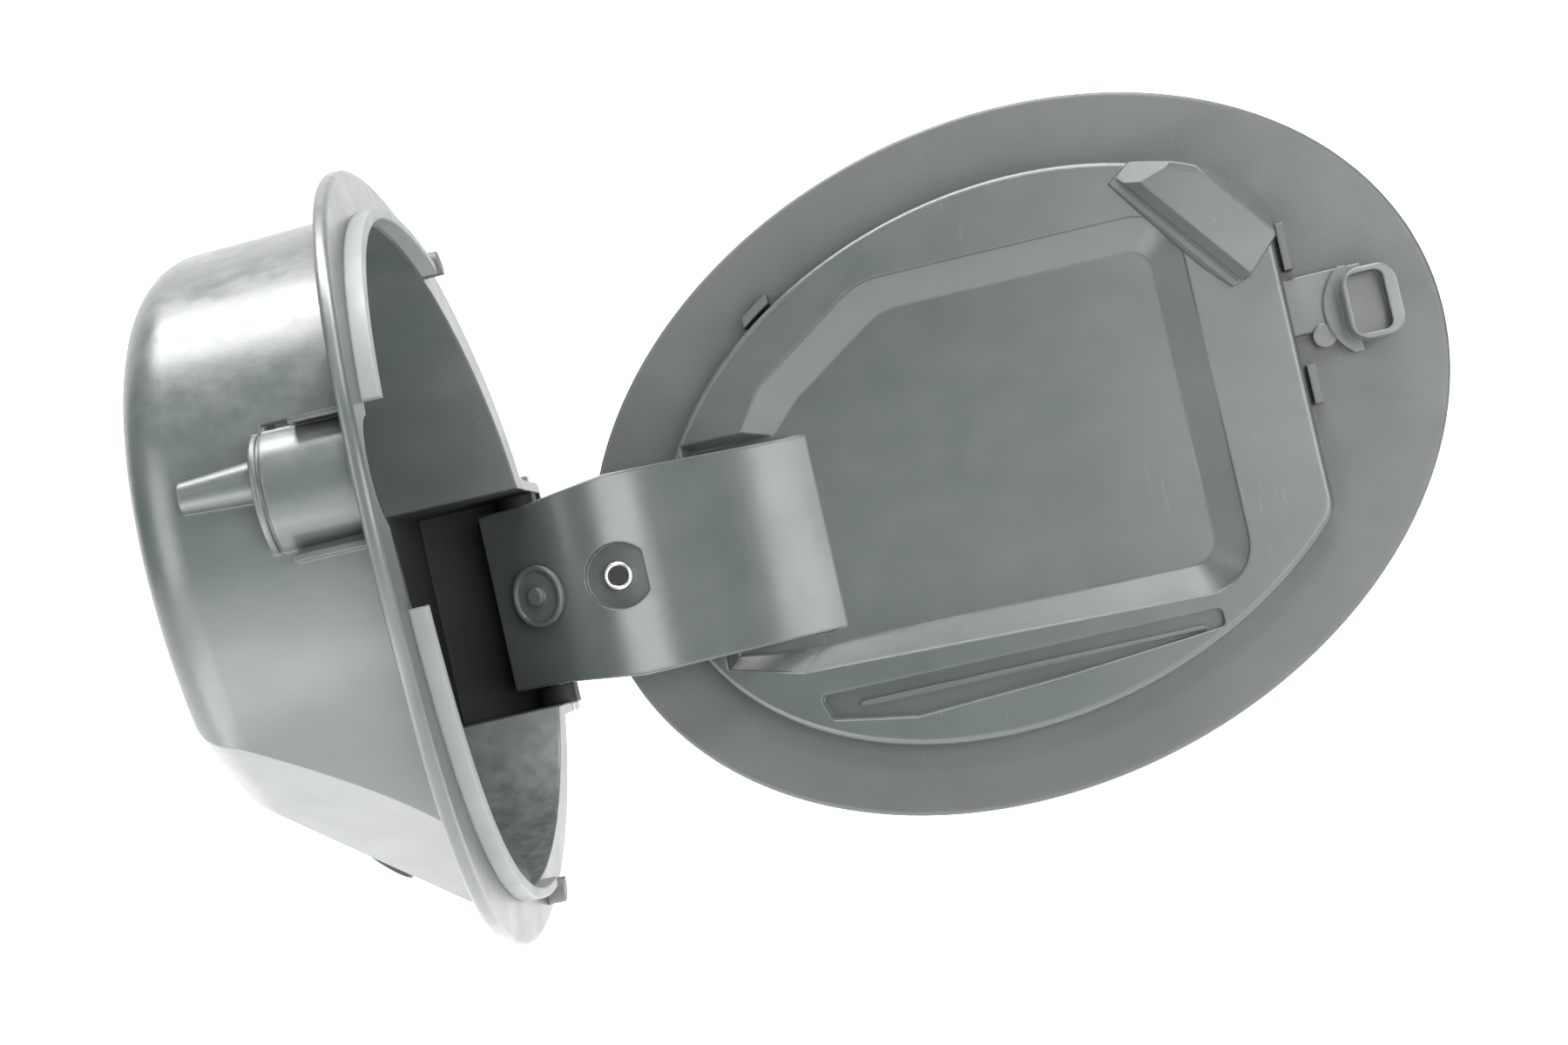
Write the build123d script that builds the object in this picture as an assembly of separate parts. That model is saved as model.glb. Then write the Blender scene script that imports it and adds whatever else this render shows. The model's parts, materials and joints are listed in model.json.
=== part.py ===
from build123d import *
import os
from math import cos, radians, sin, tan

# Car fuel door: a filler bowl with a hinged oval door, swung open.
# Millimetres. +X points out of the car body, +Y to the hinge side, +Z up along the hinge.
# The origin is the middle of the bowl's mouth, on the outer face of its flange.

# Door oval, and the curved body surface that the door and the flange both follow.
DOOR_A = 92.0
DOOR_B = 68.6
DOOR_TILT = 13.4
CROWN_R = 466.0
CROWN_Z = 10.0
SKIN_IN = 4.0
SKIN_OUT = 6.0

# Hinge: axis position, and how far the door stands open at rest.
HINGE_X = -4.0
HINGE_Y = DOOR_A + 9.3
OPEN_ANGLE = 86.0
PIN_R = 2.0
PIN_PLAY = 0.05
HUB_R = 6.5

# Filler bowl and the hole in its floor for the tank's neck.
RIM_A = DOOR_A - 2.4
RIM_B = DOOR_B - 2.5
FLANGE_W = 9.3
FLANGE_T = 2.4
WALL = 2.2
BOWL_DEPTH = 38.5
BOWL_DRAFT = 2.0
FLOOR_ROUND = 8.5
MOUTH_A = RIM_A - FLANGE_W
MOUTH_B = RIM_B - FLANGE_W
NECK_R = 32.0
NECK_Y = -4.0
NECK_Z = MOUTH_B - NECK_R - FLOOR_ROUND - 2.0

# Hinge pocket in the far wall: inside faces.
POCKET_LOW = 39.6 - DOOR_B
POCKET_TOP = DOOR_B - 54.0
POCKET_FLOOR = -26.5
POCKET_BACK = HINGE_Y + 8.2

# Arm: its edges at the middle and at the hinge end, its thickness, and the gap for the spring.
ARM_LOW = POCKET_LOW + 2.0
ARM_TOP = POCKET_TOP - 0.6
ARM_MID = (ARM_LOW + ARM_TOP) / 2
ARM_T = 3.0
HUB_LOW = ARM_LOW + 2.0
HUB_TOP = ARM_TOP - 2.3
COIL_LOW = ARM_MID - 6.9
COIL_TOP = ARM_MID + 6.5

# Inner panel of the door and its sunk pan.
PANEL_A = DOOR_A - 16.0
PANEL_B = DOOR_B - 14.6
PANEL_FRONT = -2.5
PANEL_SIDE = 31.5 - DOOR_A
PAN_FLOOR = 0.4
PAN_RUN = 6.5
PAN_RIGHT = PANEL_SIDE + 24.5
PAN_TOP = DOOR_B - 33.6
PAN_LOW = 38.4 - DOOR_B
ROOT_Y = HINGE_Y - 54.0

# Latch: middle of the cup, the loop that enters it, and the plunger in its sleeve.
LATCH_Y = 15.5 - DOOR_A
LATCH_Z = 13.4
CUP_R = 8.7
CUP_WALL = 0.9
CUP_Z = LATCH_Z - 0.4
CUP_DEPTH = 16.0
CUP_FLOOR = 1.5
LOOP_Y = 11.2
LOOP_Z = 14.4
LOOP_WALL = 1.1
LOOP_HEEL = 2.8
LOOP_TIP = 5.5 - CUP_DEPTH
LOOP_DEEP = 5.6
PUSH_Y = LATCH_Y + (LOOP_HEEL - LOOP_WALL) / 2
SLEEVE_R = 2.9
PLUNGER_R = 1.9
PLUNGER_PLAY = 0.06
PLUNGER_TIP = LOOP_TIP + 4.0
PLUNGER_L = 12.5
PLUNGER_TRAVEL = 5.0
SPRING_SHORT = 3.6

os.makedirs("parts", exist_ok=True)


def save(shape, node):
    """Write one piece of the object."""
    shape.label = node
    export_step(shape, os.path.join("parts", node + ".step"))


def opened(shape):
    """Swing something drawn on the closed door to where it stands at rest."""
    return shape.rotate(Axis((HINGE_X, HINGE_Y, 0), (0, 0, 1)), OPEN_ANGLE)


def crown(offset):
    """Everything behind the curved body surface, moved out by an offset."""
    return Pos(-CROWN_R, 0, CROWN_Z) * Rot(90, 0, 0) * Cylinder(CROWN_R + offset, 5 * DOOR_A)


def oval(a, b):
    """The door's tilted oval, seen along X."""
    return Rot(0, 0, -DOOR_TILT) * Ellipse(a, b)


def oval_bar(a, b, x0, x1):
    """A bar along X with the tilted oval as its section."""
    return extrude(Plane.YZ.offset(x0) * oval(a, b), amount=x1 - x0)


def outline(points, radius=0):
    """A face with the given corners, rounded by a radius."""
    face = make_face(Polyline(*points, close=True))
    if radius:
        face = fillet(face.vertices(), radius)
    return face


def yz_bar(points, x0, x1, radius=0):
    """A bar along X with a polygon of (Y, Z) corners as its section."""
    return extrude(Plane.YZ.offset(x0) * outline(points, radius), amount=x1 - x0)


def rod_x(radius, x0, x1, y, z):
    """A round rod along X."""
    return Pos((x0 + x1) / 2, y, z) * Rot(0, 90, 0) * Cylinder(radius, x1 - x0)


def rod_z(radius, z0, z1, x, y):
    """A round rod along Z."""
    return Pos(x, y, (z0 + z1) / 2) * Cylinder(radius, z1 - z0)


def block(x0, x1, y0, y1, z0, z1):
    """A box between two corners."""
    return Pos((x0 + x1) / 2, (y0 + y1) / 2, (z0 + z1) / 2) * Box(x1 - x0, y1 - y0, z1 - z0)


def frame_points(y, z, half_y, half_z):
    """Corners of a rectangle about a middle point."""
    return [(y - half_y, z - half_z), (y + half_y, z - half_z),
            (y + half_y, z + half_z), (y - half_y, z + half_z)]


# Filler bowl: one plastic moulding with its flange, hinge pocket and latch cup.
SLOPE = Plane(origin=(-8.5, 0, -MOUTH_B - WALL), x_dir=(0, 1, 0), z_dir=(-1, 0, -1))
CHAMFER = Plane(origin=(-7, 28.3 - MOUTH_A, 16.8 - MOUTH_B), z_dir=(-0.32, -0.43, -0.85))


def bowl_form(inset):
    """The bowl as a solid, shrunk by an inset: oval wall, flat floor, sloped underside."""
    front_a = MOUTH_A + WALL - inset
    front_b = MOUTH_B + WALL - inset
    taper = (BOWL_DEPTH - inset) * tan(radians(BOWL_DRAFT))
    front = Plane.YZ * oval(front_a, front_b)
    rear = Plane.YZ.offset(inset - BOWL_DEPTH) * oval(front_a - taper, front_b - taper)
    form = loft([front, rear])
    cut = 3 * DOOR_A
    for plane in (SLOPE, CHAMFER):
        form -= plane.offset(-inset) * Pos(0, 0, cut / 2) * Box(cut, cut, cut)
    floor = form.faces().sort_by(Axis.X)[0]
    return fillet(floor.edges(), FLOOR_ROUND - inset)


flange = oval_bar(RIM_A, RIM_B, -15, 5) & (crown(0) - crown(-FLANGE_T))
flange = fillet(flange.edges(), 0.8)
pocket_y0 = MOUTH_A - 10
pocket_y1 = POCKET_BACK + WALL
pocket_mid = (pocket_y0 + pocket_y1) / 2
pocket_z = (POCKET_LOW + POCKET_TOP) / 2
pocket_frame = frame_points(pocket_mid, pocket_z, (pocket_y1 - pocket_y0) / 2,
                            (POCKET_TOP - POCKET_LOW) / 2 + WALL)
pocket_box = yz_bar(pocket_frame, POCKET_FLOOR - WALL, 5, 0.91 * WALL)
pocket_box = fillet(pocket_box.faces().sort_by(Axis.X)[0].edges(), 0.86 * WALL) & crown(-0.5)
pocket_room = block(POCKET_FLOOR, 20, MOUTH_A - 25, POCKET_BACK, POCKET_LOW, POCKET_TOP)

cup_out = CUP_R + CUP_WALL
cup_end = -CUP_DEPTH - CUP_FLOOR
cup = rod_x(cup_out, cup_end, 5, LATCH_Y, CUP_Z)
cup = fillet(cup.faces().sort_by(Axis.X)[0].edges(), 0.6)
cup_room = rod_x(CUP_R, -CUP_DEPTH, 20, LATCH_Y, CUP_Z)
GROOVE_IN = 1.2
GROOVE_W = 0.6
GROOVE_DEEP = 0.4
groove_x = cup_end + GROOVE_IN
cup_band = rod_x(cup_out - GROOVE_DEEP, groove_x - 1, groove_x + GROOVE_W + 1, LATCH_Y, CUP_Z)
cup -= rod_x(cup_out + 1, groove_x, groove_x + GROOVE_W, LATCH_Y, CUP_Z) - cup_band
plunger_back = PLUNGER_TIP - PLUNGER_L
bore_end = plunger_back - PLUNGER_TRAVEL - SPRING_SHORT
sleeve_end = bore_end - 1.2
latch_boss = rod_x(SLEEVE_R + 0.8, sleeve_end, -CUP_DEPTH - 0.5, PUSH_Y, LATCH_Z)

# Outside the near wall: a tapered stub behind the cup, a ledge and a slot over it,
# a web and a gusset under it.
wall_y = -(MOUTH_A + WALL) * 0.985
over = CUP_Z + cup_out
under = CUP_Z - cup_out
STUB_L = 12.0
stub_at = Pos(cup_end + 0.5 - STUB_L / 2, wall_y + 0.8, LATCH_Z + 2.1) * Rot(0, 90, 0)
stub = stub_at * Cone(2.35, 3.2, STUB_L)
ledge = block(-10.5, 0, wall_y - 2.5, wall_y + 4, over - 0.1, over + 0.8)
slot = block(cup_end + 1.9, -11.2, wall_y - 4, wall_y + 6, over, over + 1.0)
web = block(-14.0, 0, wall_y - 2.5, wall_y + 4, under - 0.9, under + 0.2)
gusset = block(-2.6, -0.5, wall_y - 3.5, wall_y + 3, under - 10.5, under)

oval_room = oval_bar(MOUTH_A, MOUTH_B, -0.01, 20)
bowl = bowl_form(0) + flange + pocket_box + stub + ledge + web + gusset
bowl = bowl - bowl_form(WALL) - oval_room - pocket_room
bowl = bowl + cup + latch_boss
bowl = (bowl & crown(0)) - cup_room - slot
bowl -= rod_x(SLEEVE_R, sleeve_end, 0, PUSH_Y, LATCH_Z)
bowl -= rod_x(NECK_R, -BOWL_DEPTH - 5, -BOWL_DEPTH + 10, NECK_Y, NECK_Z)

# Bosses in the pocket that carry the hinge pin.
BOSS_R = 4.6
boss_room = block(HINGE_X - 10, HINGE_X + 3.2, HINGE_Y - 10, HINGE_Y + 10, POCKET_LOW - 1, POCKET_TOP + 1)
bowl += rod_z(BOSS_R, HUB_TOP + 0.3, POCKET_TOP + 0.5, HINGE_X, HINGE_Y) & boss_room
bowl += rod_z(BOSS_R, POCKET_LOW - 0.5, HUB_LOW - 0.3, HINGE_X, HINGE_Y) & boss_room
bowl -= rod_z(PIN_R, POCKET_LOW - 10, POCKET_TOP + 10, HINGE_X, HINGE_Y)

# Drain hole in the sloped underside, and the two buffer holes in the flange.
DRAIN_R = 4.5
DRAIN = SLOPE * Pos(12, -22.5, 0)
bowl -= DRAIN * Cylinder(DRAIN_R, 20)
BUFFER_STEM = 1.8
BUFFER_TURNS = (80.0, -58.0)
buffer_spots = []
for turn in BUFFER_TURNS:
    across = (RIM_A - FLANGE_W / 2) * cos(radians(turn))
    up = (RIM_B - FLANGE_W / 2) * sin(radians(turn))
    spot = (Plane.YZ * Rot(0, 0, -DOOR_TILT) * Pos(across, up, 0)).position
    buffer_spots.append(spot)
    bowl -= rod_x(BUFFER_STEM, -20, 10, spot.Y, spot.Z)
save(bowl, "bowl")

# Rubber seal clipped into the floor, where the tank's filler neck comes through.
SEAL_T = 4.0
SEAL_LIP = 3.0
SEAL_PROUD = 1.6
floor_in = WALL - BOWL_DEPTH
neck_seal = rod_x(NECK_R + SEAL_LIP, -BOWL_DEPTH - SEAL_PROUD, floor_in + SEAL_PROUD, NECK_Y, NECK_Z)
neck_seal -= rod_x(NECK_R + 3 * SEAL_LIP, -BOWL_DEPTH, floor_in, NECK_Y, NECK_Z)
neck_seal += rod_x(NECK_R, -BOWL_DEPTH, floor_in, NECK_Y, NECK_Z)
neck_seal -= rod_x(NECK_R - SEAL_T, -BOWL_DEPTH - 9, floor_in + 9, NECK_Y, NECK_Z)
save(neck_seal, "neck_seal")

# Rubber drain nipple pushed through the underside, flush with the wall inside.
NIPPLE_R = 5.4
NIPPLE_BORE = 3.0
NIPPLE_OUT = 7.0
drain_nipple = DRAIN * (Pos(0, 0, -WALL / 2) * Cylinder(DRAIN_R, WALL))
drain_nipple += DRAIN * (Pos(0, 0, NIPPLE_OUT / 2) * Cylinder(NIPPLE_R, NIPPLE_OUT))
drain_nipple -= DRAIN * Cylinder(NIPPLE_BORE, 4 * NIPPLE_OUT)
save(drain_nipple, "drain_nipple")

# Two rubber buffers on the flange that the closed door rests against.
BUFFER_H = SKIN_IN - 0.8
BUFFER_HEAD = 2.3
BUFFER_TAIL = 2.5
bump_stops = Part()
for spot in buffer_spots:
    head = rod_x(BUFFER_HEAD, -15, 10, spot.Y, spot.Z) & (crown(BUFFER_H) - crown(0))
    stem = rod_x(BUFFER_STEM, -15, 5, spot.Y, spot.Z) & (crown(0.1) - crown(-FLANGE_T - 0.1))
    tail = rod_x(BUFFER_TAIL, -15, 5, spot.Y, spot.Z) & (crown(-FLANGE_T) - crown(-FLANGE_T - 1.4))
    bump_stops += head + stem + tail
save(bump_stops, "bump_stops")

# Soft lip standing on the near half of the mouth, broken where the catch enters.
LIP_H = SKIN_IN - 1.0
LIP_T = 1.8
LIP_END = 22.0
rim_lip = oval_bar(MOUTH_A + LIP_T, MOUTH_B + LIP_T, -12, 8) - oval_bar(MOUTH_A, MOUTH_B, -20, 20)
rim_lip = rim_lip & (crown(LIP_H) - crown(0)) & block(-20, 20, -2 * DOOR_A, LIP_END, -DOOR_A, DOOR_A)
rim_lip -= block(-20, 20, -2 * DOOR_A, 0, under - 11.1, over + 1.1)
save(rim_lip, "rim_lip")

# Steel hinge pin pressed through the pocket's two walls, with a round head on top.
PIN_HEAD = 1.4
hinge_pin = rod_z(PIN_R, POCKET_LOW - WALL, POCKET_TOP + WALL, HINGE_X, HINGE_Y)
hinge_pin += rod_z(1.6 * PIN_R, POCKET_TOP + WALL, POCKET_TOP + WALL + PIN_HEAD, HINGE_X, HINGE_Y)
save(hinge_pin, "hinge_pin")

# Steel torsion spring wound round the pin between the two knuckles of the arm.
COIL_R = 4.4
WIRE_R = 0.6
BEND_R = 1.08 * WIRE_R
COIL_TURNS = 6
coil_from = COIL_LOW + 1.0
coil_h = COIL_TOP - COIL_LOW - 2.0
coil_top = coil_from + coil_h
coil = Helix(coil_h / COIL_TURNS, coil_h, COIL_R).moved(Pos(0, 0, coil_from) * Rot(0, 0, 180))
leg_wall = Line((-COIL_R, POCKET_BACK - HINGE_Y, coil_from), (-COIL_R, 0, coil_from))
leg_arm = Line((-COIL_R, 0, coil_top), (-COIL_R, 0.3 - HUB_R, coil_top))


def wire(run, radius):
    """Round wire along a run."""
    return sweep(Plane(origin=run @ 0, z_dir=run % 0) * Circle(radius), path=run)


hinge_spring = Part() + wire(coil, WIRE_R)
for bend in (coil @ 0, coil @ 1):
    hinge_spring += Pos(bend.X, bend.Y, bend.Z) * Sphere(BEND_R)
for run in (leg_wall, leg_arm):
    hinge_spring += wire(run, WIRE_R)
save(Pos(HINGE_X, HINGE_Y, 0) * hinge_spring, "hinge_spring")

# Push latch: a plastic sleeve pressed into the boss, the plunger that slides in it and its spring.
HEAD_T = 2.6
HEAD_Y = 1.6
HEAD_Z = 3.2
sleeve_front = PLUNGER_TIP - HEAD_T - PLUNGER_TRAVEL - 0.5
latch_sleeve = rod_x(SLEEVE_R, sleeve_end, sleeve_front, PUSH_Y, LATCH_Z)
latch_sleeve -= rod_x(PLUNGER_R + PLUNGER_PLAY, bore_end, 5, PUSH_Y, LATCH_Z)
save(latch_sleeve, "latch_sleeve")

latch_plunger = rod_x(PLUNGER_R, plunger_back, PLUNGER_TIP - 1.0, PUSH_Y, LATCH_Z)
latch_plunger += block(PLUNGER_TIP - HEAD_T, PLUNGER_TIP, PUSH_Y - HEAD_Y, PUSH_Y + HEAD_Y,
                       LATCH_Z - HEAD_Z, LATCH_Z + HEAD_Z)
save(latch_plunger, "latch_plunger")

PUSH_WIRE = 0.3
PUSH_TURNS = 6
push_h = plunger_back - bore_end - 2 * PUSH_WIRE - 0.1
push_coil = Helix(push_h / PUSH_TURNS, push_h, PLUNGER_R - 2 * PUSH_WIRE)
push_at = Pos(bore_end + PUSH_WIRE + 0.05, PUSH_Y, LATCH_Z) * Rot(0, 90, 0)
latch_spring = push_at * wire(push_coil, PUSH_WIRE)
save(latch_spring, "latch_spring")

# Outer skin of the door: a thin curved oval with small hooks that hold the inner panel.
HOOK_T = 1.8
HOOK_GAP = 0.9
HOOKS = ((DOOR_B - 40.0, 4.75), (0.2, 4.0))
skin = oval_bar(DOOR_A, DOOR_B, -20, 20) & (crown(SKIN_OUT) - crown(SKIN_IN))
skin = fillet(skin.edges(), 0.8)
hook_band = crown(SKIN_IN + 0.5) - crown(PANEL_FRONT + 1.5)
hook_y = PANEL_SIDE - HOOK_GAP
for z, half in HOOKS:
    skin += block(-20, 20, hook_y - HOOK_T, hook_y, z - half, z + half) & hook_band
hook_in = oval_bar(PANEL_A + HOOK_GAP, PANEL_B + HOOK_GAP, -25, 25)
far_hook = oval_bar(PANEL_A + HOOK_GAP + HOOK_T, PANEL_B + HOOK_GAP + HOOK_T, -20, 20) - hook_in
skin += far_hook & hook_band & block(-20, 20, DOOR_A / 2 - 4, DOOR_A / 2 + 2, 0, DOOR_B)
save(opened(skin), "outer_skin")

# Inner panel: a raised oval, straight on the latch side, with a sunk pan open to the arm.
panel_face = oval(PANEL_A, PANEL_B) - Pos(PANEL_SIDE - DOOR_A, 0) * Rectangle(2 * DOOR_A, 4 * DOOR_A)
panel_face = fillet(panel_face.vertices(), 7.0)
panel_bar = extrude(Plane.YZ.offset(-20) * panel_face, amount=40)
panel = panel_bar & (crown(SKIN_IN) - crown(PANEL_FRONT))
panel_top = panel.faces().filter_by(GeomType.CYLINDER).sort_by(Axis.X)[0]
panel = fillet(panel_top.edges(), 1.2)


def pan_outline(points, round_corners, round_top, round_neck):
    """One level of the pan: the two corners by the latch, the top bend and the neck are rounded."""
    face = make_face(Polyline(*points, close=True))
    face = fillet(face.vertices().group_by(Axis.X)[0], round_corners)
    for point, radius in ((points[2], round_top), (points[3], round_neck)):
        face = fillet(face.vertices().sort_by_distance(point)[0:1], radius)
    return face


floor_line = [(PAN_RIGHT, PAN_LOW), (PAN_RIGHT, PAN_TOP), (ROOT_Y - 27, PAN_TOP),
              (ROOT_Y - 6, PAN_TOP - 14), (ROOT_Y, ARM_TOP + 1.0), (ROOT_Y + 17, ARM_TOP + 1.0),
              (ROOT_Y + 17, ARM_LOW - 1.0), (ROOT_Y, PAN_LOW + 0.5)]
brim_line = [(PAN_RIGHT - PAN_RUN, PAN_LOW - PAN_RUN), (PAN_RIGHT - PAN_RUN, PAN_TOP + PAN_RUN),
             (ROOT_Y - 24, PAN_TOP + PAN_RUN), (ROOT_Y + 0.5, PAN_TOP - 10),
             (ROOT_Y + 6, ARM_TOP + 3.0), (ROOT_Y + 19, ARM_TOP + 3.0),
             (ROOT_Y + 19, ARM_LOW - 3.0), (ROOT_Y + 4, PAN_LOW - 3.8)]
pan_floor = Plane.YZ.offset(PAN_FLOOR) * pan_outline(floor_line, 5.0, 12.0, 7.0)
pan_brim = Plane.YZ.offset(PANEL_FRONT) * pan_outline(brim_line, 10.0, 16.0, 9.0)
panel -= loft([pan_floor, pan_brim], ruled=True)
panel -= extrude(pan_brim, amount=-15)
pan_bottom = min(panel.faces().filter_by(GeomType.PLANE), key=lambda face: abs(face.center().X - PAN_FLOOR))
panel = fillet(pan_bottom.edges(), 1.0)

# Shallow pocket along the panel's lower border, with one low rib along it.
STRIP_DEPTH = 1.8
RIB_T = 0.9
RIB_H = 1.0
strip_line = [(ROOT_Y + 2, PAN_LOW - 9.0), (PAN_RIGHT + 2, PAN_LOW - 9.2), (PAN_RIGHT + 2, PAN_LOW - 13.0),
              (ROOT_Y - 47, PAN_LOW - 16.0), (ROOT_Y - 17, PAN_LOW - 17.5), (ROOT_Y, PAN_LOW - 14.5)]
strip = yz_bar(strip_line, -20, 20, 1.2) & (crown(PANEL_FRONT + STRIP_DEPTH) - crown(PANEL_FRONT - 6))
rib_z = PAN_LOW - 12.4
rib = block(-20, 20, PAN_RIGHT + 6, ROOT_Y - 6, rib_z - RIB_T / 2, rib_z + RIB_T / 2)
panel -= strip - (rib - crown(PANEL_FRONT + STRIP_DEPTH - RIB_H))
carrier = opened(panel)

# Goose-neck arm of the same moulding, drawn where it stands at rest, measured from the hinge.
front_run = [(-7.8, -10.4), (-2.0, -14.2), (3.0, -17.4), (7.0, -19.6), (11.0, -20.7),
             (15.0, -21.1), (19.0, -20.7), (23.0, -19.6), (28.0, -17.0), (33.0, -13.5),
             (40.0, -8.6), (46.0, -4.6), (52.0, -1.7), (58.0, -0.1), (65.0, 0.0)]
HUMP_X, HUMP_Y = front_run[6]
front_edge = Spline(*front_run)
back_run = []
for i in range(len(front_run)):
    share = i / (len(front_run) - 1)
    point = front_edge @ share
    along = front_edge % share
    back_run.append((point.X - ARM_T * along.Y, point.Y + ARM_T * along.X))
back_edge = Spline(*back_run)
arm_face = make_face([front_edge, Line(front_run[-1], back_run[-1]),
                      back_edge, Line(back_run[0], front_run[0])])
arm = extrude(Pos(HINGE_X, HINGE_Y, ARM_LOW) * arm_face, amount=ARM_TOP - ARM_LOW)
arm_plan = outline([(-30, HUB_TOP - 0.3), (0, HUB_TOP), (16, ARM_TOP), (90, ARM_TOP),
                    (90, ARM_LOW), (16, ARM_LOW), (0, HUB_LOW), (-30, HUB_LOW + 0.4)])
arm = arm & extrude(Plane.XZ.offset(-2 * DOOR_A) * arm_plan, amount=2 * DOOR_A)
arm = fillet(arm.edges(), 0.5) & opened(crown(SKIN_IN))

# Two grooved knuckles that turn on the pin, each tied to the arm by a web.
web_face = outline([(-HUB_R, 0), (-HUB_R, -10.3), (-1.5, -12.9), (5.0, -16.2), (HUB_R * 0.95, -2.0)])
TEETH_DEEP = 1.4
TEETH_W = 1.8
for low, top in ((HUB_LOW, COIL_LOW), (COIL_TOP, HUB_TOP)):
    arm += rod_z(HUB_R, low, top, HINGE_X, HINGE_Y)
    arm += extrude(Pos(HINGE_X, HINGE_Y, low) * web_face, amount=top - low)
    hub_face = HINGE_X - HUB_R
    for third in (1, 2):
        gap_z = low + third * (top - low) / 3
        arm -= block(hub_face - 1, hub_face + TEETH_DEEP, HINGE_Y - 9.0, HINGE_Y - 1.0,
                     gap_z - TEETH_W / 2, gap_z + TEETH_W / 2)
arm -= rod_z(PIN_R + PIN_PLAY, ARM_LOW - 5, ARM_TOP + 5, HINGE_X, HINGE_Y)

# Sunk seat on the hump for a steel sleeve, and the hole for a plug near the hinge end.
TUBE_R = 2.75
TUBE_WALL = 0.65
TUBE_L = 4.4
SEAT_R = 6.7
SEAT_DEPTH = 1.9
SEAT_AT = Pos(HINGE_X + HUMP_X - 0.1, HINGE_Y + HUMP_Y, ARM_MID) * Rot(90, 0, 0)
seat = SEAT_AT * (Cylinder(SEAT_R, 2 * SEAT_DEPTH) - Pos(SEAT_R + 3.7, 0, 0) * Box(10, 4 * SEAT_R, 10))
arm -= seat
arm -= SEAT_AT * Cylinder(TUBE_R, 30)
PLUG_R = 6.2
PLUG_RIM = 0.9
PLUG_STEM = 2.6
PLUG_NUB = 1.8
PLUG_AT = Pos(HINGE_X + 2.4, HINGE_Y - 17.15, ARM_MID - 0.4) * Rot(0, 0, -32.6) * Rot(90, 0, 0)
arm -= PLUG_AT * Cylinder(PLUG_STEM, 20)
carrier += arm
save(carrier, "door_carrier")

# Steel sleeve through the arm, and the plastic plug pushed into it.
tube = Cylinder(TUBE_R, TUBE_L) - Cylinder(TUBE_R - TUBE_WALL, 2 * TUBE_L)
arm_sleeve = SEAT_AT * Pos(0, 0, -1.2) * tube
save(arm_sleeve, "arm_sleeve")
arm_plug = PLUG_AT * (Pos(0, 0, 0.9) * Cylinder(PLUG_R, 1.2) + Pos(0, 0, -1.4) * Cylinder(PLUG_STEM, 4.4))
arm_plug -= PLUG_AT * (Pos(0, 0, 1.5) * Cylinder(PLUG_R - PLUG_RIM, 1.0))
arm_plug += PLUG_AT * (Pos(0, 0, 1.4) * Cylinder(PLUG_NUB, 1.6))
save(arm_plug, "arm_plug")

# Catch: a hollow loop with a heavy heel, a crescent collar and a flat stem held by the panel's edge.
COLLAR_X = 0.6
COLLAR_R = 11.0
COLLAR_HALF = 8.8
STEM_X = 2.2
STEM_Z = 5.8
EAR_R = 2.4
loop_outer = frame_points(LATCH_Y, LATCH_Z, LOOP_Y / 2, LOOP_Z / 2)
hollow_y = (LOOP_Y - LOOP_WALL - LOOP_HEEL) / 2
loop_inner = frame_points(PUSH_Y, LATCH_Z, hollow_y, LOOP_Z / 2 - LOOP_WALL)
catch = yz_bar(loop_outer, LOOP_TIP, 10, 4.0)
catch = fillet(catch.faces().sort_by(Axis.X)[0].edges(), 0.5)
collar = rod_x(COLLAR_R, COLLAR_X, 10, LATCH_Y - 1.8, LATCH_Z)
catch += collar & block(-5, 15, LATCH_Y + 3.0, 0, LATCH_Z - COLLAR_HALF, LATCH_Z + COLLAR_HALF)
stem_mid = LATCH_Z + 2.9
catch += block(STEM_X, 10, LATCH_Y, PANEL_SIDE, stem_mid - STEM_Z, stem_mid + STEM_Z)
catch += rod_x(EAR_R, STEM_X - 0.8, 10, LATCH_Y + 10.0, stem_mid - STEM_Z - 1.2)
catch -= yz_bar(loop_inner, -30, LOOP_TIP + LOOP_DEEP, 1.8)
save(opened(catch & crown(SKIN_IN)), "catch")

# Holder for the filler cap: a ridged block on the panel's upper corner, undercut for the cap's edge.
# It is drawn from its crest: Y across it, Z along it, X down to the panel.
CREST = -14.0
CREST_AT = Pos(CREST, PAN_RIGHT - 19.2, PAN_TOP + 3.0) * Rot(142.6, 0, 0)
TOP_TILT = 24.0
TOP_W = 9.0
FAR_TILT = 67.0
NEAR_TILT = 56.0
END_FACETS = ((0.0, -9.0, 14.0), (1.7, -16.0, 48.0))
holder_line = [(3.0, 9.0), (-9.2, 10.5), (-12.8, 9.3), (-14.2, -1.3), (-17.8, -15.0), (-19.4, -24.0),
               (-2.5, -24.0), (4.8, -7.1), (4.9, 1.3)]
holder = yz_bar(holder_line, 0, SKIN_IN - CREST)
far_side = Pos(-20, 30, 0) * Box(40, 60, 120)
near_side = Pos(-20, -30, 0) * Box(40, 60, 120)
left_end = Pos(-20, 0, -30) * Box(40, 120, 60)
holder -= Rot(0, 0, -FAR_TILT) * far_side
holder -= Rot(0, 0, TOP_TILT) * near_side
holder -= Pos(TOP_W * tan(radians(TOP_TILT)), -TOP_W, 0) * Rot(0, 0, NEAR_TILT) * near_side
for down, along, tilt in END_FACETS:
    holder -= Pos(down, 0, along) * Rot(0, -tilt, 0) * left_end
holder = fillet(holder.edges(), 0.3)
HOLDER_SLOT = 2.4
holder -= block(7.0, 7.0 + HOLDER_SLOT, -40, -11.0, -40, 40)
save(opened(CREST_AT * holder & crown(PANEL_FRONT) & panel_bar), "cap_holder")
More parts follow.
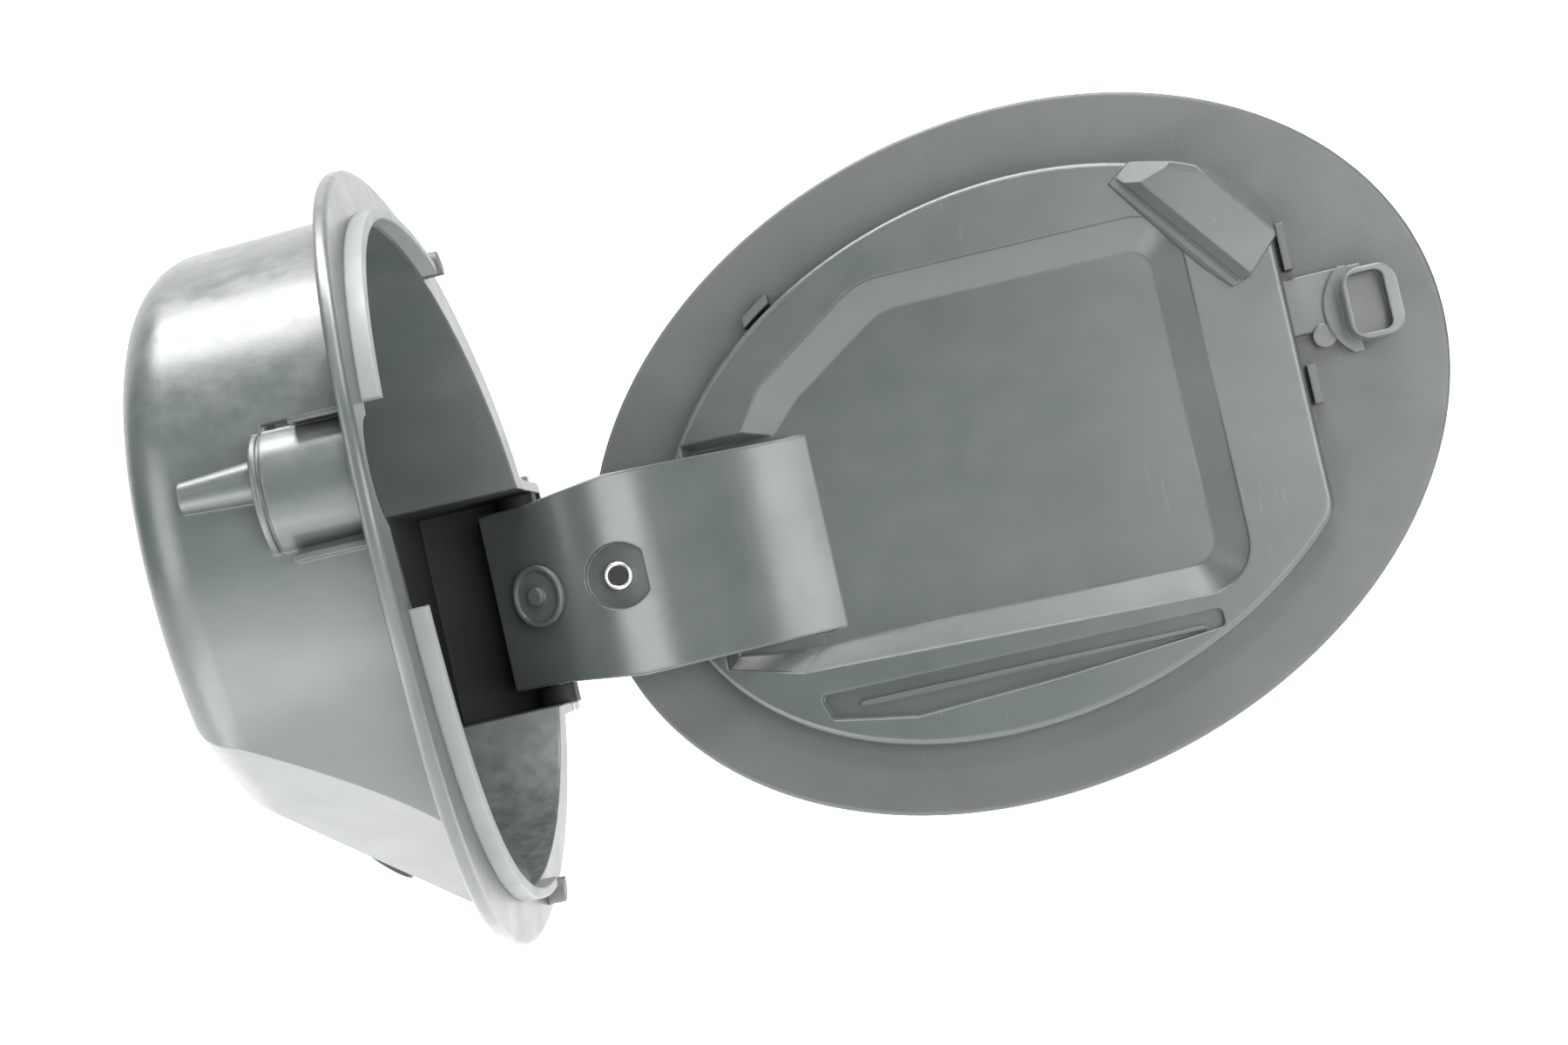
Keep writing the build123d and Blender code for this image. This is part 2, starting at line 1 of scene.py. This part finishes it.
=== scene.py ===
# Car fuel door: a plastic filler bowl with an oval door swung open on a goose-neck arm.
# The file follows the object as it is put together: bowl, seals, hinge, latch, door, then the studio.
import json
from math import cos, pi, radians, sin

import bpy
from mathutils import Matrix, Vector


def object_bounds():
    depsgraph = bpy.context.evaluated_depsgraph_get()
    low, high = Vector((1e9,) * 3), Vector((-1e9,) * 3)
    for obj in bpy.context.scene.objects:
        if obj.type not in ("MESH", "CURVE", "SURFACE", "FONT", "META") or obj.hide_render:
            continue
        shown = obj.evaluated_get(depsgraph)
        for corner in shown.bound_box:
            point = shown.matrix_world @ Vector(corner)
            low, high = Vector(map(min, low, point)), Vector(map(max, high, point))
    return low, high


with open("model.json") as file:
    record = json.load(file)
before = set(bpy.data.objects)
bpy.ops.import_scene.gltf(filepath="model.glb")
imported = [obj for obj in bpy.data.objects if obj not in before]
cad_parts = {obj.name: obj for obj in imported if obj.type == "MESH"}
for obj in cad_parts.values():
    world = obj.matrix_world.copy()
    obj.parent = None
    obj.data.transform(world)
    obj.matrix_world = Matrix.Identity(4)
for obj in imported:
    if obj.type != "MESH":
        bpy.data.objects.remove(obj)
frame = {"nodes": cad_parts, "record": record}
nodes = frame["nodes"]
cad_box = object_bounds()

# Filler bowl
# One injection moulding in dark grey-green plastic, satin from a fine spark-eroded mould,
# with its flange, hinge pocket and latch cup in one piece. Dust lies in it and on its top.


def node_group(name, inputs, outputs):
    """An empty shader node group with named sockets and their first values."""
    group = bpy.data.node_groups.new(name, "ShaderNodeTree")
    for socket, value in inputs.items():
        kind = "NodeSocketColor" if isinstance(value, tuple) else "NodeSocketFloat"
        made = group.interface.new_socket(name=socket, in_out="INPUT", socket_type=kind)
        made.default_value = value
    for socket, kind in outputs.items():
        group.interface.new_socket(name=socket, in_out="OUTPUT", socket_type=kind)
    return group, group.nodes.new("NodeGroupInput").outputs, group.nodes.new("NodeGroupOutput").inputs


def put(tree, value, socket):
    """Set a socket to a plain value, or link it."""
    if isinstance(value, (int, float, tuple)):
        socket.default_value = value
    else:
        tree.links.new(value, socket)


def coords(tree, stretch=(1, 1, 1), turn=(0, 0, 0)):
    """The piece's own coordinates, turned and stretched along its axes."""
    place = tree.nodes.new("ShaderNodeTexCoord").outputs["Object"]
    mapping = tree.nodes.new("ShaderNodeMapping")
    mapping.inputs["Scale"].default_value = stretch
    mapping.inputs["Rotation"].default_value = turn
    tree.links.new(place, mapping.inputs["Vector"])
    return mapping.outputs["Vector"]


def noise(tree, place, scale, detail=3, roughness=0.5):
    """A noise value at a place."""
    made = tree.nodes.new("ShaderNodeTexNoise")
    made.inputs["Detail"].default_value = detail
    made.inputs["Roughness"].default_value = roughness
    put(tree, scale, made.inputs["Scale"])
    tree.links.new(place, made.inputs["Vector"])
    return made.outputs["Fac"]


def combine(tree, operation, first, second):
    """Two values through a math node."""
    made = tree.nodes.new("ShaderNodeMath")
    made.operation = operation
    put(tree, first, made.inputs[0])
    put(tree, second, made.inputs[1])
    return made.outputs[0]


def spread(tree, value, low, high, to_low=0.0, to_high=1.0):
    """A value stretched from one range to another, clamped."""
    made = tree.nodes.new("ShaderNodeMapRange")
    for socket, number in (("From Min", low), ("From Max", high), ("To Min", to_low), ("To Max", to_high)):
        put(tree, number, made.inputs[socket])
    put(tree, value, made.inputs["Value"])
    return made.outputs["Result"]


def mixed(tree, share, first, second):
    """A colour mixed from two by a share."""
    made = tree.nodes.new("ShaderNodeMix")
    made.data_type = "RGBA"
    for value, number in ((share, 0), (first, 6), (second, 7)):
        put(tree, value, made.inputs[number])
    return made.outputs[2]


# Moulded surface: flow clouds in the colour, uneven gloss and a fine grain.
moulding, taken, given = node_group(
    "moulded_surface",
    {"Colour": (0.1, 0.1, 0.1, 1), "Cloud": (0.1, 0.1, 0.1, 1), "Cloud Share": 0.5,
     "Gloss Low": 0.3, "Gloss High": 0.4, "Grain": 2200.0},
    {"Colour": "NodeSocketColor", "Roughness": "NodeSocketFloat", "Height": "NodeSocketFloat"})
clouds = noise(moulding, coords(moulding, (0.6, 1, 1)), 42, 5, 0.62)
cloud_mask = combine(moulding, "MULTIPLY", spread(moulding, clouds, 0.36, 0.68), taken["Cloud Share"])
moulding.links.new(mixed(moulding, cloud_mask, taken["Colour"], taken["Cloud"]), given["Colour"])
patches = noise(moulding, coords(moulding), 120, 4)
patch_gloss = spread(moulding, patches, 0.3, 0.7, taken["Gloss Low"], taken["Gloss High"])
moulding.links.new(patch_gloss, given["Roughness"])
moulding.links.new(noise(moulding, coords(moulding), taken["Grain"], 2), given["Height"])

# Settled dust: a pale film on faces that look up, thinned by noise.
dust, taken, given = node_group(
    "settled_dust",
    {"Colour": (0.1, 0.1, 0.1, 1), "Roughness": 0.4, "Dust": (0.14, 0.145, 0.135, 1), "Amount": 0.3},
    {"Colour": "NodeSocketColor", "Roughness": "NodeSocketFloat"})
facing = dust.nodes.new("ShaderNodeSeparateXYZ")
dust.links.new(dust.nodes.new("ShaderNodeNewGeometry").outputs["Normal"], facing.inputs[0])
film = combine(dust, "MULTIPLY", spread(dust, facing.outputs["Z"], 0.1, 0.95),
               spread(dust, noise(dust, coords(dust), 260, 6, 0.7), 0.4, 0.66))
film = combine(dust, "MULTIPLY", film, taken["Amount"])
dust.links.new(mixed(dust, film, taken["Colour"], taken["Dust"]), given["Colour"])
dulled = combine(dust, "ADD", taken["Roughness"], combine(dust, "MULTIPLY", film, 0.5))
dust.links.new(dulled, given["Roughness"])

# Handling scuffs: sparse thin scratches, a little paler and duller than the skin of the plastic.
scuffs, taken, given = node_group(
    "handling_scuffs",
    {"Colour": (0.1, 0.1, 0.1, 1), "Roughness": 0.4, "Scratch": (0.2, 0.2, 0.2, 1), "Amount": 0.4},
    {"Colour": "NodeSocketColor", "Roughness": "NodeSocketFloat"})
lines = spread(scuffs, noise(scuffs, coords(scuffs, (22, 22, 0.5), (0.5, 0.9, 0.3)), 60, 2), 0.68, 0.74)
where = spread(scuffs, noise(scuffs, coords(scuffs), 24, 2), 0.5, 0.64)
scratch = combine(scuffs, "MULTIPLY", combine(scuffs, "MULTIPLY", lines, where), taken["Amount"])
scuffs.links.new(mixed(scuffs, scratch, taken["Colour"], taken["Scratch"]), given["Colour"])
dulled = combine(scuffs, "ADD", taken["Roughness"], combine(scuffs, "MULTIPLY", scratch, 0.25))
scuffs.links.new(dulled, given["Roughness"])

# Relief: the grain of a surface, over edges that are worn round and catch the light.
relief, taken, given = node_group(
    "surface_relief",
    {"Height": 0.0, "Strength": 0.05, "Depth": 0.0002, "Edge": 0.0006},
    {"Normal": "NodeSocketVector"})
rounding = relief.nodes.new("ShaderNodeBevel")
rounding.samples = 6
relief.links.new(taken["Edge"], rounding.inputs["Radius"])
bump = relief.nodes.new("ShaderNodeBump")
for name, socket in (("Height", "Height"), ("Strength", "Strength"), ("Depth", "Distance")):
    relief.links.new(taken[name], bump.inputs[socket])
relief.links.new(rounding.outputs["Normal"], bump.inputs["Normal"])
relief.links.new(bump.outputs["Normal"], given["Normal"])


def shader(name):
    """A new material, its tree and its Principled shader."""
    material = bpy.data.materials.new(name)
    material.use_nodes = True
    return material, material.node_tree, material.node_tree.nodes["Principled BSDF"]


def grouped(tree, group, **values):
    """One of the shared effects in a material, with its values or links."""
    made = tree.nodes.new("ShaderNodeGroup")
    made.node_tree = group
    for name, value in values.items():
        put(tree, value, made.inputs[name.replace("_", " ")])
    return made.outputs


def bumped(tree, surface, height, strength, depth=0.0002, edge=0.0006):
    """Turn a height into the shader's normal, with its sharp edges softened."""
    shape = grouped(tree, relief, Height=height, Strength=strength, Depth=depth, Edge=edge)
    tree.links.new(shape["Normal"], surface.inputs["Normal"])


def plastic(name, colour, cloud, gloss, share=0.6, grain=2200.0, bump=0.05, dusty=0.3, scuffed=0.4):
    """Moulded plastic with its own colours, gloss range, grain, dust and scuffs."""
    material, tree, surface = shader(name)
    mould = grouped(tree, moulding, Colour=colour, Cloud=cloud, Cloud_Share=share,
                    Gloss_Low=gloss[0], Gloss_High=gloss[1], Grain=grain)
    pale = tuple(min(1.0, 2.2 * part) for part in colour[:3]) + (1,)
    worn = grouped(tree, scuffs, Colour=mould["Colour"], Roughness=mould["Roughness"],
                   Scratch=pale, Amount=scuffed)
    dusted = grouped(tree, dust, Colour=worn["Colour"], Roughness=worn["Roughness"], Amount=dusty)
    tree.links.new(dusted["Colour"], surface.inputs["Base Color"])
    tree.links.new(dusted["Roughness"], surface.inputs["Roughness"])
    bumped(tree, surface, mould["Height"], bump)
    return material


def finish_node(node, material):
    """Give a CAD piece its material."""
    mesh = nodes[node].data
    mesh.materials.clear()
    mesh.materials.append(material)


bowl_plastic = plastic("bowl_plastic", (0.035, 0.043, 0.040, 1), (0.052, 0.060, 0.057, 1), (0.285, 0.35),
                       share=0.75, dusty=0.3, scuffed=0.35)
finish_node("bowl", bowl_plastic)

# Painted shade: the pocket's inside faces are painted near black where shade falls in the hinge pocket,
# fading out towards the bowl, and made a little duller.
SHADE_PAST = 0.0006
SHADE_EDGE = 0.0002
SHADE_RUN = 0.012
# The near-black colour of the painted shade in the pocket.
POCKET_SHADE_COLOUR = (0.006, 0.006, 0.005, 1)
SHADE_DULL = 0.4
tree = bowl_plastic.node_tree
surface = tree.nodes["Principled BSDF"]
pocket = next(room for room in frame["record"]["physics"]["openings"] if room["name"] == "hinge_pocket")
pocket_low, pocket_high = (Vector(corner) for corner in pocket["box_m"])
pocket_high.x = -SHADE_PAST
place = tree.nodes.new("ShaderNodeSeparateXYZ")
tree.links.new(coords(tree), place.inputs[0])
pocket_shade = 1.0
for axis, low, high in zip("XYZ", pocket_low, pocket_high):
    start = low - SHADE_PAST
    end = high + SHADE_PAST
    run = SHADE_RUN if axis == "Y" else SHADE_EDGE
    pocket_shade = combine(tree, "MULTIPLY", pocket_shade, spread(tree, place.outputs[axis], start, start + run))
    pocket_shade = combine(tree, "MULTIPLY", pocket_shade, spread(tree, place.outputs[axis], end, end - SHADE_EDGE))
unshaded = surface.inputs["Base Color"].links[0].from_socket
# Painted shade: the pocket mask mixes the bowl's colour towards near black.
tree.links.new(mixed(tree, pocket_shade, unshaded, POCKET_SHADE_COLOUR), surface.inputs["Base Color"])
unshaded = surface.inputs["Roughness"].links[0].from_socket
dulled = combine(tree, "ADD", unshaded, combine(tree, "MULTIPLY", pocket_shade, SHADE_DULL))
tree.links.new(dulled, surface.inputs["Roughness"])

# Rim lip
# A soft plastic lip, paler than the bowl, with a fine matt grain.
# It is pushed on to the near half of the mouth in two lengths, with a break at the latch.
lip_plastic = plastic("lip_plastic", (0.115, 0.128, 0.120, 1), (0.145, 0.157, 0.148, 1), (0.42, 0.55),
                      grain=3000.0, bump=0.03, dusty=0.35, scuffed=0.1)
finish_node("rim_lip", lip_plastic)

# Neck seal and drain nipple
# Black rubber mouldings clipped into holes in the bowl; old rubber blooms grey in patches.
rubber, tree, surface = shader("seal_rubber")
mould = grouped(tree, moulding, Colour=(0.009, 0.009, 0.0095, 1), Cloud=(0.022, 0.022, 0.0215, 1),
                Cloud_Share=0.6, Gloss_Low=0.5, Gloss_High=0.72, Grain=1500.0)
dusted = grouped(tree, dust, Colour=mould["Colour"], Roughness=mould["Roughness"],
                 Dust=(0.09, 0.085, 0.075, 1), Amount=0.4)
tree.links.new(dusted["Colour"], surface.inputs["Base Color"])
tree.links.new(dusted["Roughness"], surface.inputs["Roughness"])
bumped(tree, surface, mould["Height"], strength=0.12)
finish_node("neck_seal", rubber)
finish_node("drain_nipple", rubber)

# Bump stops
# Two grey rubber buffers pulled through the flange, their faces polished by the door.
buffer, tree, surface = shader("buffer_rubber")
mould = grouped(tree, moulding, Colour=(0.045, 0.050, 0.045, 1), Cloud=(0.065, 0.070, 0.062, 1),
                Cloud_Share=0.5, Gloss_Low=0.45, Gloss_High=0.65, Grain=1800.0)
dusted = grouped(tree, dust, Colour=mould["Colour"], Roughness=mould["Roughness"], Amount=0.4)
tree.links.new(dusted["Colour"], surface.inputs["Base Color"])
tree.links.new(dusted["Roughness"], surface.inputs["Roughness"])
bumped(tree, surface, mould["Height"], strength=0.1)
finish_node("bump_stops", buffer)

# Hinge pin
# A zinc-plated steel pin with a round head, pressed through the pocket's walls; drawn lines run along it.
drawn, taken, given = node_group(
    "drawn_metal",
    {"Colour": (0.5, 0.5, 0.5, 1), "Stain": (0.3, 0.3, 0.3, 1), "Gloss Low": 0.25, "Gloss High": 0.45},
    {"Colour": "NodeSocketColor", "Roughness": "NodeSocketFloat", "Height": "NodeSocketFloat"})
streaks = noise(drawn, coords(drawn, (1, 1, 0.04)), 1500, 3)
stains = spread(drawn, noise(drawn, coords(drawn), 170, 5, 0.6), 0.42, 0.7)
drawn.links.new(mixed(drawn, stains, taken["Colour"], taken["Stain"]), given["Colour"])
drawn.links.new(spread(drawn, streaks, 0.3, 0.7, taken["Gloss Low"], taken["Gloss High"]), given["Roughness"])
drawn.links.new(streaks, given["Height"])


def steel(name, colour, stain, gloss):
    """Drawn steel with stains and lengthwise lines."""
    material, tree, surface = shader(name)
    surface.inputs["Metallic"].default_value = 1.0
    metal = grouped(tree, drawn, Colour=colour, Stain=stain, Gloss_Low=gloss[0], Gloss_High=gloss[1])
    tree.links.new(metal["Colour"], surface.inputs["Base Color"])
    tree.links.new(metal["Roughness"], surface.inputs["Roughness"])
    bumped(tree, surface, metal["Height"], strength=0.08, depth=0.0001)
    return material


pin_steel = steel("pin_steel", (0.56, 0.56, 0.54, 1), (0.4, 0.39, 0.35, 1), (0.285, 0.42))
finish_node("hinge_pin", pin_steel)

# Hinge spring
# A torsion spring of oiled spring wire round the pin, one leg on the pocket's back wall, one on the arm.
spring_steel = steel("spring_steel", (0.3, 0.3, 0.31, 1), (0.17, 0.16, 0.15, 1), (0.285, 0.42))
finish_node("hinge_spring", spring_steel)

# Push latch
# A black plastic sleeve pressed into the boss behind the cup, the plunger sliding in it and its push spring.
latch_plastic = plastic("latch_plastic", (0.008, 0.009, 0.009, 1), (0.014, 0.015, 0.015, 1), (0.3, 0.42),
                        scuffed=0.6)
finish_node("latch_sleeve", latch_plastic)
finish_node("latch_plunger", latch_plastic)
finish_node("latch_spring", spring_steel)

# Inner panel and arm
# One satin moulding: the panel with its sunk pan, and the goose-neck arm that carries it on the pin.
door_plastic = plastic("door_plastic", (0.038, 0.046, 0.043, 1), (0.050, 0.058, 0.055, 1), (0.285, 0.35),
                       share=0.7, bump=0.035, dusty=0.12, scuffed=0.4)
finish_node("door_carrier", door_plastic)

# Arm sleeve
# A plated steel tube pressed through the arm's hump, standing in a sunk D-shaped seat.
finish_node("arm_sleeve", pin_steel)

# Arm plug
# A paler plastic plug pushed into a hole near the hinge end, with a small round nub in its middle.
plug_plastic = plastic("plug_plastic", (0.055, 0.064, 0.060, 1), (0.072, 0.080, 0.076, 1), (0.285, 0.36))
finish_node("arm_plug", plug_plastic)

# Outer skin
# The thin curved oval that shows on the car, with hooks for the panel; its inside has a fine matt grain.
skin_plastic = plastic("skin_plastic", (0.036, 0.042, 0.041, 1), (0.047, 0.053, 0.051, 1), (0.44, 0.56),
                       share=0.8, grain=1300.0, bump=0.14, dusty=0.1, scuffed=0.3)
finish_node("outer_skin", skin_plastic)

# Catch
# A moulded loop with a collar and stem at the door's latch side, rubbed pale by the plunger.
catch_plastic = plastic("catch_plastic", (0.054, 0.062, 0.059, 1), (0.072, 0.080, 0.077, 1), (0.285, 0.38),
                        scuffed=0.7)
finish_node("catch", catch_plastic)

# Cap holder
# A ridged block of the door's plastic on the panel's corner, where the filler cap hangs while filling.
holder_plastic = plastic("holder_plastic", (0.042, 0.050, 0.047, 1), (0.056, 0.064, 0.061, 1), (0.285, 0.36),
                         scuffed=0.6)
finish_node("cap_holder", holder_plastic)

# Studio
# A pale sweep well below and behind the part that glows towards the back. Soft lamps overhead, high in front,
# at each side of the camera and low at the left give the plastic its broad highlights.
SWEEP_HALF = 5.0
SWEEP_BACK = 2.2
SWEEP_BEND = 1.4
SWEEP_TOP = 5.0
SWEEP_STEPS = 24
FLOOR_DROP = 0.2
GLOW_FRONT = (-0.7, 0.25)
GLOW_BACK = (0.5, 1.35)
floor_z = cad_box[0][2] - FLOOR_DROP
profile = [(-SWEEP_HALF, floor_z), (SWEEP_BACK, floor_z)]
for step in range(1, SWEEP_STEPS + 1):
    turn = step / SWEEP_STEPS * pi / 2
    profile.append((SWEEP_BACK + SWEEP_BEND * sin(turn), floor_z + SWEEP_BEND * (1 - cos(turn))))
profile.append((SWEEP_BACK + SWEEP_BEND, SWEEP_TOP))
corners = [(x, y, z) for y, z in profile for x in (-SWEEP_HALF, SWEEP_HALF)]
sides = [(2 * i, 2 * i + 1, 2 * i + 3, 2 * i + 2) for i in range(len(profile) - 1)]
sweep_mesh = bpy.data.meshes.new("sweep")
sweep_mesh.from_pydata(corners, [], sides)
for face in sweep_mesh.polygons:
    face.use_smooth = True
sweep = bpy.data.objects.new("sweep", sweep_mesh)
bpy.context.scene.collection.objects.link(sweep)
paper, tree, surface = shader("sweep_paper")
surface.inputs["Base Color"].default_value = (0.9, 0.9, 0.9, 1)
surface.inputs["Roughness"].default_value = 0.9
surface.inputs["Emission Color"].default_value = (1, 1, 1, 1)
reach = tree.nodes.new("ShaderNodeSeparateXYZ")
tree.links.new(coords(tree), reach.inputs[0])
glow = spread(tree, reach.outputs["Y"], GLOW_FRONT[0], GLOW_BACK[0], GLOW_FRONT[1], GLOW_BACK[1])
tree.links.new(glow, surface.inputs["Emission Strength"])
sweep_mesh.materials.append(paper)


def softbox(name, place, aim, width, height, watts):
    """A rectangular area lamp at a place, turned to a point."""
    lamp = bpy.data.lights.new(name, "AREA")
    lamp.shape = "RECTANGLE"
    lamp.size = width
    lamp.size_y = height
    lamp.energy = watts
    made = bpy.data.objects.new(name, lamp)
    made.location = place
    made.rotation_euler = (Vector(aim) - Vector(place)).to_track_quat("-Z", "Y").to_euler()
    bpy.context.scene.collection.objects.link(made)


middle = (0.08, 0.06, 0.0)
bowl_side = (-0.03, -0.06, 0.0)
LOW_LAMP_LIFT = 0.01
softbox("overhead", (0.05, -0.02, 0.95), middle, 1.0, 0.4, 30)
softbox("front_top", (0.2, -0.57, 0.7), middle, 0.35, 0.25, 5)
softbox("left_front", (-0.70, -0.66, 0.2), middle, 0.6, 0.8, 10)
softbox("right_front", (0.56, -0.85, 0.06), middle, 0.9, 0.45, 14)
softbox("low_left", (-0.16, -0.16, floor_z + LOW_LAMP_LIFT), bowl_side, 0.3, 0.3, 1.6)

ROOM_GLOW = 0.06
world = bpy.data.worlds.new("room")
bpy.context.scene.world = world
world.use_nodes = True
room = world.node_tree.nodes["Background"]
room.inputs["Color"].default_value = (1, 1, 1, 1)
room.inputs["Strength"].default_value = ROOM_GLOW

camera_data = bpy.data.cameras.new("camera")
camera_data.sensor_width = 36
camera_data.lens = 69.49
camera_data.clip_start = 0.01
camera = bpy.data.objects.new("camera", camera_data)
camera.location = (0.07663, -0.52004, -0.01882)
camera.rotation_euler = (radians(91.495), radians(12.823), radians(2.9265))
bpy.context.scene.collection.objects.link(camera)
bpy.context.scene.camera = camera
bpy.context.scene.view_settings.view_transform = "Standard"
